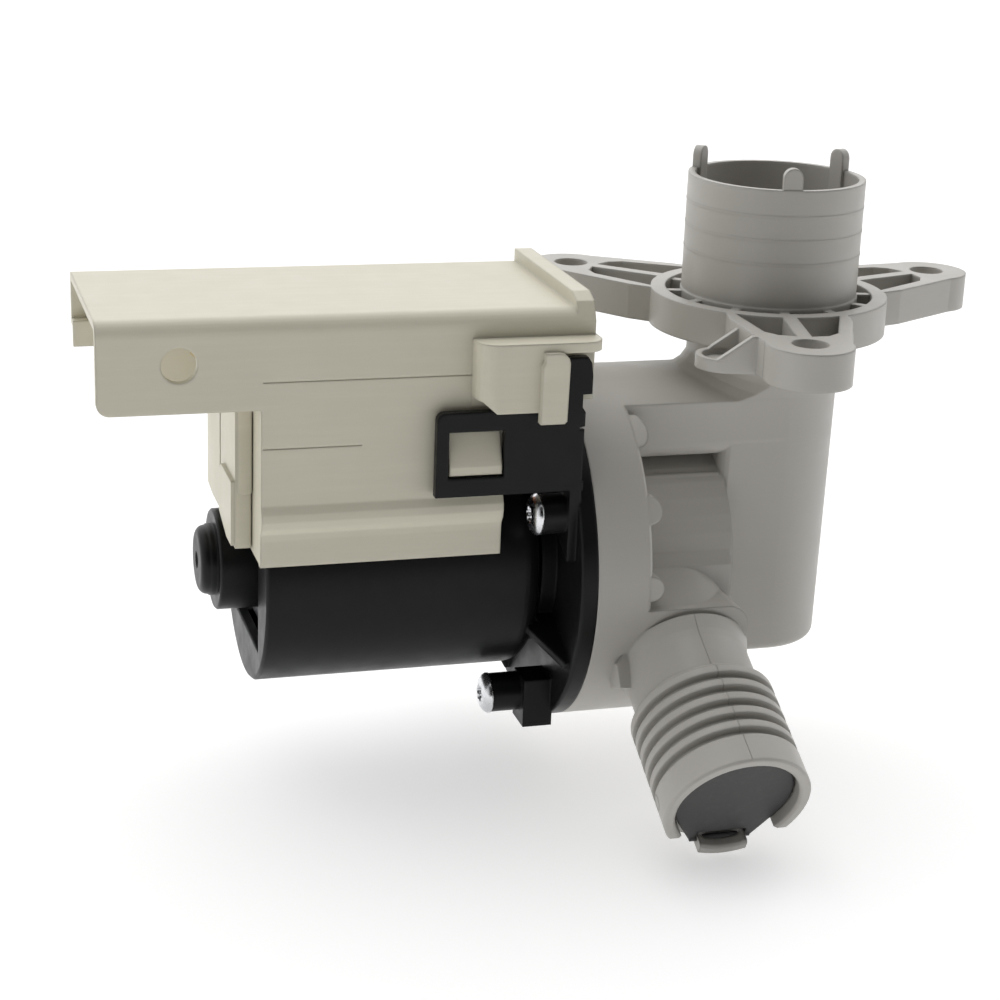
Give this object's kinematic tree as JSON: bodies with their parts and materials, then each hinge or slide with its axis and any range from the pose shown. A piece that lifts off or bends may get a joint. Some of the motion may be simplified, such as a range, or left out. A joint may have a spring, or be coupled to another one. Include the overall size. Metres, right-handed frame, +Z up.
{
  "type": "washer drain pump",
  "caption": "Drain pump with an upright flanged inlet, a ribbed hose outlet with a check valve, and a motor under a clipped splash shield.",
  "frame": {"origin": "centre of the mounting flange's top face, on the inlet tube's axis", "axes": "+Z up the inlet tube, -X along the motor towards its rear end, the outlet points to -Y and 27 degrees below level"},
  "size_m": [0.2376, 0.1356, 0.1552],
  "materials": {
    "housing_grey": "satin moulded polypropylene",
    "black_rubber": "matt",
    "natural_nylon": "satin",
    "steel_bright": "ground",
    "sleeve_plastic": "satin",
    "ferrite": "matt sintered ferrite",
    "washer_plastic": "satin",
    "bearing_carbon": "satin",
    "motor_black": "satin moulded glass-filled plastic",
    "screw_steel": "bright zinc plate",
    "core_steel": "varnished laminations",
    "former_white": "satin",
    "copper_wire": "enamelled copper",
    "shield_cream": "satin moulded polypropylene",
    "terminal_brass": "tinned brass"
  },
  "bodies": {
    "pump_body": {"pump_housing": "housing_grey", "front_bearing": "bearing_carbon", "front_bearing_seat": "black_rubber", "bearing_cap": "natural_nylon", "rear_bearing": "bearing_carbon", "rear_bearing_seat": "black_rubber", "chamber_seal": "black_rubber", "motor_housing": "motor_black", "cover_screws": "screw_steel", "stator_core": "core_steel", "coil_former_front": "former_white", "coil_former_rear": "former_white", "winding_front": "copper_wire", "winding_rear": "copper_wire", "coil_end_cover": "shield_cream", "spade_terminals": "terminal_brass", "splash_shield": "shield_cream"},
    "rotor": {"rotor_shaft": "steel_bright", "rotor_sleeve": "sleeve_plastic", "rotor_magnet": "ferrite", "thrust_washers": "washer_plastic", "drive_dog": "natural_nylon"},
    "impeller": {"impeller": "natural_nylon"},
    "valve_flap": {"check_valve": "black_rubber"}
  },
  "joints": [
    {"name": "rotor_spin", "type": "hinge", "parent": "pump_body", "child": "rotor", "pos_m": [-0.09, 0, -0.064], "axis": [1, 0, 0], "continuous": true},
    {"name": "impeller_free_turn", "type": "hinge", "parent": "rotor", "child": "impeller", "pos_m": [-0.04, 0, -0.064], "axis": [1, 0, 0], "range_deg": [-87, 87]},
    {"name": "valve_swing", "type": "hinge", "parent": "pump_body", "child": "valve_flap", "pos_m": [-0.0323, -0.06968, -0.11668], "axis": [1, 0, 0], "range_deg": [0, 50], "stiffness_Nm_per_rad": 0.02}
  ]
}
